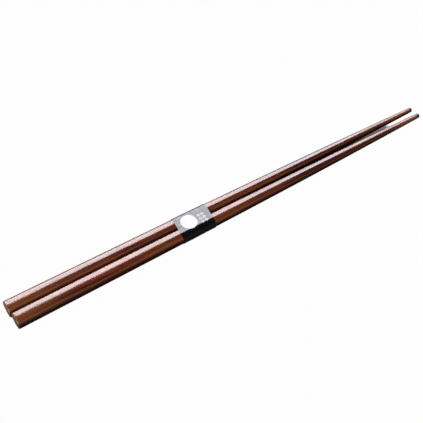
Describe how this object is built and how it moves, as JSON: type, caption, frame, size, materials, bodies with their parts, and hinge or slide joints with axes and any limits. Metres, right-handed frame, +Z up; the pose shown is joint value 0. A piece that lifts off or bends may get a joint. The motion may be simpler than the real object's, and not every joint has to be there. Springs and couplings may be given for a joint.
{
  "type": "pair of chopsticks in a band",
  "caption": "Tapered eight-sided wooden chopsticks lying side by side, held together near the middle by a folded paper band; for picking up food.",
  "frame": {"origin": "middle of the pair's length and width, at the height of the band's underside on the table", "axes": "+X along the pair from the heads to the tips, +Y across it from the front stick to the back one, +Z up"},
  "size_m": [0.2355, 0.017, 0.0091],
  "materials": {
    "wood": "dark reddish-brown hardwood under a clear gloss lacquer",
    "band_paper": "black coated paper with a gloss surface and plain white print"
  },
  "bodies": {
    "root": {"back_chopstick": "wood", "front_chopstick": "wood", "paper_band": "band_paper"}
  },
  "joints": []
}
